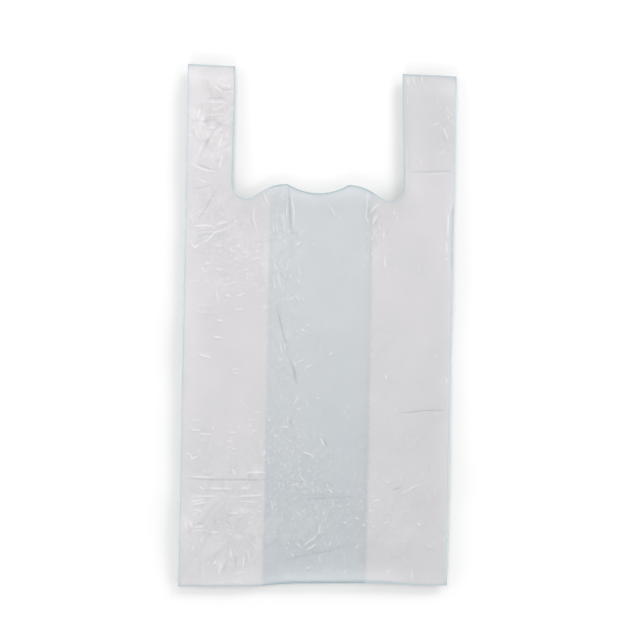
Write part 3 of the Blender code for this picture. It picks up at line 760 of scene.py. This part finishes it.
def addFold(line, low, high, outward, laidFrom, segments=5):    # the film's turn between two layers
    places = np.vstack(film["places"])
    lows = [low[tuple(np.round(p, 3))] for p in line]
    highs = [high[tuple(np.round(p, 3))] for p in line]
    columns = [lows]
    for k in range(1, segments):
        angle = math.pi * (k / segments - 0.5)
        start = sum(len(p) for p in film["places"])
        a, b = places[lows], places[highs]
        radius = np.abs(b[:, 2] - a[:, 2]) / 2
        share = (math.sin(angle) + 1) / 2
        ring = a + (b - a) * share
        ring[:, 0] += outward * radius * math.cos(angle)
        film["places"].append(ring)
        film["edge"].append(np.full(len(ring), edgeLift["sideRim"]))
        film["broad"].append(np.full(len(ring), 0.1))
        film["tone"].append(toneAndShadeAt(line[:, 0], line[:, 1]))
        for name in ("strainWhiteAndGlint", "creaseShade"):
            film[name].append(np.zeros(len(ring)))
        film["crumple"].append(np.full(len(ring), 0.1))
        film["gusset"].append(np.ones(len(ring)))
        columns.append(list(range(start, start + len(ring))))
    columns.append(highs)
    for k, (near, far) in enumerate(zip(columns, columns[1:])):
        s0, s1 = (laidFrom + stripWidth * j / segments for j in (k, k + 1))
        for i in range(len(line) - 1):
            v0, v1 = line[i][1] - baseLeft, line[i + 1][1] - baseLeft
            film["faces"].append([near[i], near[i + 1], far[i + 1], far[i]])
            film["corners"].append([(s0, v0), (s0, v1), (s1, v1), (s1, v0)])


spacing = {"front": 3.1, "crushed": 1.75, "under": 4.6, "crease": 1.5}


def buildFilm():
    strokes = allStrokes()
    print("creases:", len(strokes))
    fine = hexPoints(spacing["crushed"], 5)
    fine = fine[np.maximum(*crumpleAt(*fine.T)) > 0.3]
    frontPoints = spacedOut(
        [(strokePoints(strokes, spacing["crease"]), 0.62), (fine, 1.0), (hexPoints(spacing["front"], 1), 1.2)],
        insideOutline, wholeOutline)
    underPoints = hexPoints(spacing["under"], 2)
    print("front panel points:", len(frontPoints))
    rightGusset, rightFold = gussetOutline(1)
    leftGusset, leftFold = gussetOutline(-1)
    h, s = halfWidth, stripWidth
    depthR, depthL = bag["gussetRight"], bag["gussetLeft"]
    at = {"backEnd": 2 * h}
    at["lowR"] = at["backEnd"] + s
    at["highR"] = at["lowR"] + depthR + s
    at["front"] = at["highR"] + depthR + s
    at["highL"] = at["front"] + 2 * h + s
    at["lowL"] = at["highL"] + depthL + s

    def within(points, outline):
        return points[insideOutline(points, outline)]

    treeR, treeL = edgeTree(rightGusset), edgeTree(leftGusset)
    back = addLayer("back", wholeOutline, within(underPoints, wholeOutline), wholeEdge, lambda x: x + h, strokes)
    lowR = addLayer("low", rightGusset, within(underPoints, rightGusset), treeR, lambda x: at["lowR"] + h - x, strokes)
    highR = addLayer("high", rightGusset, within(underPoints, rightGusset), treeR,
                     lambda x: at["highR"] + x - innerFold[1], strokes)
    front = addLayer("front", wholeOutline, frontPoints, wholeEdge, lambda x: at["front"] + h - x, strokes)
    highL = addLayer("high", leftGusset, within(underPoints, leftGusset), treeL, lambda x: at["highL"] + x + h, strokes)
    lowL = addLayer("low", leftGusset, within(underPoints, leftGusset), treeL,
                    lambda x: at["lowL"] + innerFold[-1] - x, strokes)
    addFold(rightSide, back, lowR, 1, at["backEnd"])
    addFold(rightFold, lowR, highR, -1, at["highR"] - s)
    addFold(rightSide, highR, front, 1, at["front"] - s)
    addFold(leftSide, highL, front, -1, at["highL"] - s)
    addFold(leftFold, lowL, highL, 1, at["lowL"] - s)
    addFold(leftSide, back, lowL, -1, at["lowL"] + depthL)

    mesh = bpy.data.meshes.new("carrierBagFilm")
    mesh.from_pydata(np.vstack(film["places"]) * mm, [], film["faces"])
    uv = mesh.uv_layers.new(name="OFBake")
    corners = np.array([c for face in film["corners"] for c in face]) / flatWidth
    uv.data.foreach_set("uv", corners.ravel())
    for name, label in (("edge", "edgeMm"), ("strainWhiteAndGlint", "whiteningAndHighlight"), ("creaseShade", "greyAndShade"), ("gusset", "overGusset"),
                        ("crumple", "crumple"), ("broad", "broadFacets"), ("tone", "filmToneAndShade")):
        layer = mesh.attributes.new(label, "FLOAT", "POINT")
        layer.data.foreach_set("value", np.concatenate(film[name]))
    bm = bmesh.new()
    bm.from_mesh(mesh)
    bmesh.ops.recalc_face_normals(bm, faces=bm.faces)
    middles = [(f.normal.z, f.calc_center_median()) for f in bm.faces]
    upward = sum(tilt for tilt, at in middles if at.z > 1.5 * mm and abs(at.x) < 40 * mm)
    if upward < 0:
        bmesh.ops.reverse_faces(bm, faces=bm.faces)
    bm.to_mesh(mesh)
    bm.free()
    mesh.shade_smooth()
    piece = bpy.data.objects.new("carrierBagFilm", mesh)
    scene.collection.objects.link(piece)
    print("film:", len(mesh.vertices), "points,", sum(len(p.vertices) - 2 for p in mesh.polygons), "triangles")
    return piece


# Milky blown high-density polyethylene: thin, slightly blue where one skin shows, whiter where four lie together
# the whitened colour lightens the die lines and gives strain whitening with a painted highlight
filmLook = {
    # the darkened colour gives random grey, the film's tone and painted shade
    "panel": "E0E4E8", "overGusset": "F4F1F3", "whiteningAndHighlight": "FBFAFB", "greyAndShade": "93A0A6",
    # rim colours: a teal edge tint with painted shade where the film turns edge-on
    "rimShade": "8FA8B0", "gussetRimShade": "B4C8CE",
    "alpha": 0.5, "roughness": 0.22, "ior": 1.54,
    "rimWidth": 2.4,            # mm
    "crinkle": 2.2,             # mm between fine wrinkles
}


def makeFilmMaterial():
    material = bpy.data.materials.new("blownPolyethyleneFilm")
    material.use_nodes = True
    tree = material.node_tree
    tree.nodes.clear()

    def attribute(name):
        return addNode(tree, "ShaderNodeAttribute", {"attribute_name": name}).outputs["Fac"]

    def mixed(factor, first, second):
        node = addNode(tree, "ShaderNodeMix", {"data_type": "RGBA"}, {0: factor})
        for slot, value in ((6, first), (7, second)):
            if isinstance(value, bpy.types.NodeSocket):
                tree.links.new(value, node.inputs[slot])
            else:
                node.inputs[slot].default_value = value
        return node.outputs[2]

    def ranged(value, low, high, start, end):
        return addNode(tree, "ShaderNodeMapRange", {}, {
            "Value": value, "From Min": low, "From Max": high, "To Min": start, "To Max": end}).outputs["Result"]

    def maths(operation, first, second):
        return addNode(tree, "ShaderNodeMath", {"operation": operation}, {0: first, 1: second}).outputs[0]

    coords = addNode(tree, "ShaderNodeTexCoord").outputs["Object"]
    gusset, strainWhiteAndGlint, creaseShade = attribute("overGusset"), attribute("whiteningAndHighlight"), attribute("greyAndShade")
    rimShade = ranged(attribute("edgeMm"), 0, filmLook["rimWidth"], 1, 0)
    crumple = attribute("crumple")

    # die lines run up the bag, a few millimetres apart
    stretched = addNode(tree, "ShaderNodeMapping", {}, {"Vector": coords, "Scale": (260, 5, 1)}).outputs[0]
    dieLines = addNode(tree, "ShaderNodeTexNoise", {}, {"Vector": stretched, "Scale": 1, "Detail": 2}).outputs["Fac"]
    cloud = addNode(tree, "ShaderNodeTexNoise", {}, {"Vector": coords, "Scale": 1 / (45 * mm), "Detail": 2}).outputs["Fac"]
    colour = mixed(gusset, linear(filmLook["panel"]), linear(filmLook["overGusset"]))
    colour = mixed(ranged(dieLines, 0.3, 0.7, 0, 0.05), colour, linear(filmLook["whiteningAndHighlight"]))
    colour = mixed(ranged(cloud, 0.35, 0.65, 0, 0.06), colour, linear(filmLook["greyAndShade"]))
    # the film's tone and painted shade, from the attribute set per point
    colour = mixed(attribute("filmToneAndShade"), colour, linear(filmLook["greyAndShade"]))
    # painted shade darkens the film along valleys, folds and dints
    colour = mixed(creaseShade, colour, linear(filmLook["greyAndShade"]))
    # painted shade and a teal tint along folds and cut edges, where the film turns edge-on
    colour = mixed(rimShade, colour, mixed(gusset, linear(filmLook["rimShade"]), linear(filmLook["gussetRimShade"])))
    # strain whitening with a painted highlight along creases and facets
    colour = mixed(strainWhiteAndGlint, colour, linear(filmLook["whiteningAndHighlight"]))
    alpha = maths("ADD", filmLook["alpha"], maths("MULTIPLY", strainWhiteAndGlint, 0.35))
    alpha = maths("ADD", alpha, maths("MULTIPLY", creaseShade, 0.2))
    alpha = maths("ADD", alpha, maths("MULTIPLY", rimShade, 0.3))
    wrinkles = addNode(tree, "ShaderNodeTexNoise", {}, {
        "Vector": coords, "Scale": 1 / (filmLook["crinkle"] * mm), "Detail": 3, "Distortion": 0.6}).outputs["Fac"]
    bump = addNode(tree, "ShaderNodeBump", {}, {
        "Height": maths("MULTIPLY", wrinkles, crumple), "Strength": 0.5, "Distance": 0.3 * mm}).outputs[0]
    rough = ranged(cloud, 0.3, 0.7, filmLook["roughness"] - 0.04, filmLook["roughness"] + 0.06)
    shader = addNode(tree, "ShaderNodeBsdfPrincipled", {}, {
        "Base Color": colour, "Roughness": rough, "IOR": filmLook["ior"], "Alpha": alpha, "Normal": bump})
    addNode(tree, "ShaderNodeOutputMaterial", {}, {"Surface": shader.outputs[0]})
    return material


# Crushed film breaks into flat facets, each tilted its own way, with finer wrinkles on top
crush = {
    "Facet size": 13 * mm, "Facet tilt": 0.42, "Stretch": 0.5, "Lie": math.radians(58),
    "Wrinkle size": 5.0 * mm, "Wrinkle height": 1.0 * mm, "Whitening and highlight": 0.34, "Seed": 4.0,
    "Sink share": 0.22,         # no point goes down by more than this share of its height, so layers stay apart
}


def crushTree():
    tree = bpy.data.node_groups.new("crushedFilm", "GeometryNodeTree")
    face = tree.interface
    face.new_socket("Geometry", in_out="INPUT", socket_type="NodeSocketGeometry")
    for name in crush:
        face.new_socket(name, in_out="INPUT", socket_type="NodeSocketFloat")
    face.new_socket("Film", in_out="INPUT", socket_type="NodeSocketMaterial")
    face.new_socket("Geometry", in_out="OUTPUT", socket_type="NodeSocketGeometry")
    given = addNode(tree, "NodeGroupInput").outputs

    def maths(operation, first, second=0.0, clamp=False):
        return addNode(tree, "ShaderNodeMath", {"operation": operation, "use_clamp": clamp},
                       {0: first, 1: second}).outputs[0]

    def vectors(operation, first, second, result=0):
        return addNode(tree, "ShaderNodeVectorMath", {"operation": operation}, {0: first, 1: second}).outputs[result]

    def named(name):
        return addNode(tree, "GeometryNodeInputNamedAttribute", {"data_type": "FLOAT"}, {"Name": name}).outputs[0]

    # facets and wrinkles are drawn out along the way that the film was pulled
    place = addNode(tree, "GeometryNodeInputPosition").outputs[0]
    turned = addNode(tree, "ShaderNodeVectorRotate", {"rotation_type": "Z_AXIS"}, {
        "Vector": place, "Angle": maths("MULTIPLY", given["Lie"], -1.0)}).outputs[0]
    drawn = vectors("MULTIPLY", turned, addNode(tree, "ShaderNodeCombineXYZ", {}, {
        "X": given["Stretch"], "Y": 1.0, "Z": 0.0}).outputs[0])

    def sharpNoise(size, seedStep):     # 0 along wandering lines, rising straight to either side
        noise = addNode(tree, "ShaderNodeTexNoise", {"noise_dimensions": "4D"}, {
            "Vector": drawn, "W": maths("ADD", given["Seed"], seedStep), "Scale": maths("DIVIDE", 1.0, size),
            "Detail": 1.5, "Distortion": 0.5})
        return maths("ABSOLUTE", maths("SUBTRACT", noise.outputs["Fac"], 0.5))

    crumple, broad = named("crumple"), named("broadFacets")
    bend = addNode(tree, "ShaderNodeTexNoise", {"noise_dimensions": "4D"}, {
        "Vector": drawn, "W": given["Seed"], "Scale": maths("DIVIDE", 0.8, given["Facet size"]), "Detail": 2.0})
    bent = vectors("SUBTRACT", bend.outputs["Color"], (0.5, 0.5, 0.5))
    bent = vectors("MULTIPLY", bent, (0.02, 0.02, 0.0))
    bent = vectors("ADD", drawn, bent)
    perSize = maths("DIVIDE", 1.0, given["Facet size"])
    cells = addNode(tree, "ShaderNodeTexVoronoi", {"voronoi_dimensions": "2D", "feature": "F1"}, {
        "Vector": bent, "Scale": perSize}).outputs
    borders = addNode(tree, "ShaderNodeTexVoronoi", {"voronoi_dimensions": "2D", "feature": "DISTANCE_TO_EDGE"}, {
        "Vector": bent, "Scale": perSize}).outputs["Distance"]
    slope = vectors("MULTIPLY", vectors("SUBTRACT", cells["Color"], (0.5, 0.5, 0.5)), (1, 1, 0))
    rise = vectors("DOT_PRODUCT", slope, vectors("SUBTRACT", bent, cells["Position"]), "Value")
    within = maths("DIVIDE", borders, 0.22, True)
    facets = maths("MULTIPLY", maths("MULTIPLY", rise, within), maths("MULTIPLY", given["Facet tilt"], broad))
    facets = maths("MULTIPLY", facets, 2.0)
    fineRidge, fineValley = sharpNoise(given["Wrinkle size"], 13.0), sharpNoise(given["Wrinkle size"], 19.0)
    wrinkles = maths("MULTIPLY", maths("SUBTRACT", fineValley, fineRidge), given["Wrinkle height"])
    raised = maths("ADD", facets, maths("MULTIPLY", maths("MULTIPLY", wrinkles, crumple), 2.0))
    height = addNode(tree, "ShaderNodeSeparateXYZ", {}, {0: place}).outputs["Z"]
    deepest = maths("MULTIPLY", maths("MULTIPLY", height, given["Sink share"]), -1.0)
    raised = maths("MAXIMUM", raised, deepest)
    offset = addNode(tree, "ShaderNodeCombineXYZ", {}, {"Z": raised}).outputs[0]
    moved = addNode(tree, "GeometryNodeSetPosition", {}, {"Geometry": given["Geometry"], "Offset": offset})

    # strained film goes milky, with a painted sheen and painted glints: some facets all over, the rest along their
    # borders and the wrinkles' crests
    chance = addNode(tree, "ShaderNodeSeparateXYZ", {}, {0: cells["Color"]}).outputs["Z"]
    milkyAndSheen = addNode(tree, "ShaderNodeMapRange", {"interpolation_type": "SMOOTHSTEP"}, {
        "Value": chance, "From Min": 0.45, "From Max": 0.95}).outputs["Result"]
    milkyAndSheen = maths("MULTIPLY", maths("MULTIPLY", milkyAndSheen, within), maths("MULTIPLY", given["Whitening and highlight"], broad))
    crestWhiteAndGlint = maths("SUBTRACT", 1.0, maths("DIVIDE", fineRidge, 0.03), True)
    crestWhiteAndGlint = maths("MULTIPLY", crestWhiteAndGlint, maths("MULTIPLY", crumple, maths("MULTIPLY", fineValley, 3.0)))
    whiteningAndHighlight = maths("MAXIMUM", named("whiteningAndHighlight"), maths("MAXIMUM", crestWhiteAndGlint, milkyAndSheen))
    stored = addNode(tree, "GeometryNodeStoreNamedAttribute", {"data_type": "FLOAT", "domain": "POINT"}, {
        "Geometry": moved.outputs[0], "Name": "whiteningAndHighlight", "Value": whiteningAndHighlight})
    real = addNode(tree, "GeometryNodeRealizeInstances", {}, {"Geometry": stored.outputs[0]})
    coated = addNode(tree, "GeometryNodeSetMaterial", {}, {"Geometry": real.outputs[0], "Material": given["Film"]})
    addNode(tree, "NodeGroupOutput", {}, {0: coated.outputs[0]})
    return tree


def runTree(piece, tree, values):       # gives the piece the plain mesh that the tree makes
    modifier = piece.modifiers.new(tree.name, "NODES")
    modifier.node_group = tree
    for item in tree.interface.items_tree:
        if item.in_out == "INPUT" and item.name in values:
            modifier[item.identifier] = values[item.name]
    graph = bpy.context.evaluated_depsgraph_get()
    made = bpy.data.meshes.new_from_object(piece.evaluated_get(graph), preserve_all_data_layers=True, depsgraph=graph)
    piece.modifiers.remove(modifier)
    piece.data = made
    made.name = piece.name


filmMaterial = makeFilmMaterial()
filmPiece = buildFilm()
runTree(filmPiece, crushTree(), {**crush, "Film": filmMaterial})
print("film crushed:", len(filmPiece.data.vertices), "points, materials", [m.name for m in filmPiece.data.materials])

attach(filmPiece, "root")
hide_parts("bag")


# Studio: white floor, soft light all round, brighter from the top and the upper right
studio = {
    "horizon": 1.9,             # the sky is brightest low down and dimmer overhead
    "zenith": 0.47,
    "lamps": {      # degrees round from the bag's right, degrees up, distance m, size m, watts
        "key": (52, 21, 4.5, 1.2, 86),
        "upper": (120, 60, 4.5, 1.2, 18),
        "top": (100, 26, 4.5, 1.2, 32),
        "left": (172, 21, 4.5, 1.2, 38),
        "bottom": (262, 21, 4.5, 1.2, 54),
        "right": (350, 21, 4.5, 1.2, 34),
    },
}


def buildStudio():
    mesh = bpy.data.meshes.new("floor")
    mesh.from_pydata([(-6, -6, 0), (6, -6, 0), (6, 6, 0), (-6, 6, 0)], [], [(0, 1, 2, 3)])
    floor = bpy.data.objects.new("floor", mesh)
    scene.collection.objects.link(floor)
    matte = bpy.data.materials.new("mattePaper")
    matte.use_nodes = True
    shader = matte.node_tree.nodes["Principled BSDF"]
    shader.inputs["Base Color"].default_value = linear("F2F2F2")
    shader.inputs["Roughness"].default_value = 0.9
    shader.inputs["Specular IOR Level"].default_value = 0
    floor.data.materials.append(matte)

    world = bpy.data.worlds.new("studio")
    world.use_nodes = True
    tree = world.node_tree
    direction = addNode(tree, "ShaderNodeTexCoord").outputs["Generated"]
    upward = addNode(tree, "ShaderNodeSeparateXYZ", {}, {0: direction}).outputs["Z"]
    strength = addNode(tree, "ShaderNodeMapRange", {"interpolation_type": "SMOOTHSTEP"}, {
        "Value": upward, "From Min": 0.05, "From Max": 0.6,
        "To Min": studio["horizon"], "To Max": studio["zenith"]}).outputs["Result"]
    background = tree.nodes["Background"]
    background.inputs["Color"].default_value = (1, 1, 1, 1)
    tree.links.new(strength, background.inputs["Strength"])
    scene.world = world
    for name, (around, up, far, size, watts) in studio["lamps"].items():
        data = bpy.data.lights.new(name, "AREA")
        data.shape = "SQUARE"
        data.size = size
        data.energy = watts
        lamp = bpy.data.objects.new(name, data)
        a, e = math.radians(around), math.radians(up)
        lamp.location = Vector((math.cos(a) * math.cos(e), math.sin(a) * math.cos(e), math.sin(e))) * far
        lamp.rotation_euler = (-lamp.location).to_track_quat("-Z", "Y").to_euler()
        lamp.visible_camera = False
        scene.collection.objects.link(lamp)


buildStudio()
scene.view_settings.view_transform = "Standard"
scene.cycles.transparent_max_bounces = 24

view = {"centre": (2.6, 8.1), "turn": 0.0192, "lens": 85, "height": 1556}
cameraData = bpy.data.cameras.new("overhead")
cameraData.lens = view["lens"]
camera = bpy.data.objects.new("overhead", cameraData)
camera.location = (view["centre"][0] * mm, view["centre"][1] * mm, view["height"] * mm)
camera.rotation_euler = (0, 0, view["turn"])
scene.collection.objects.link(camera)
scene.camera = camera
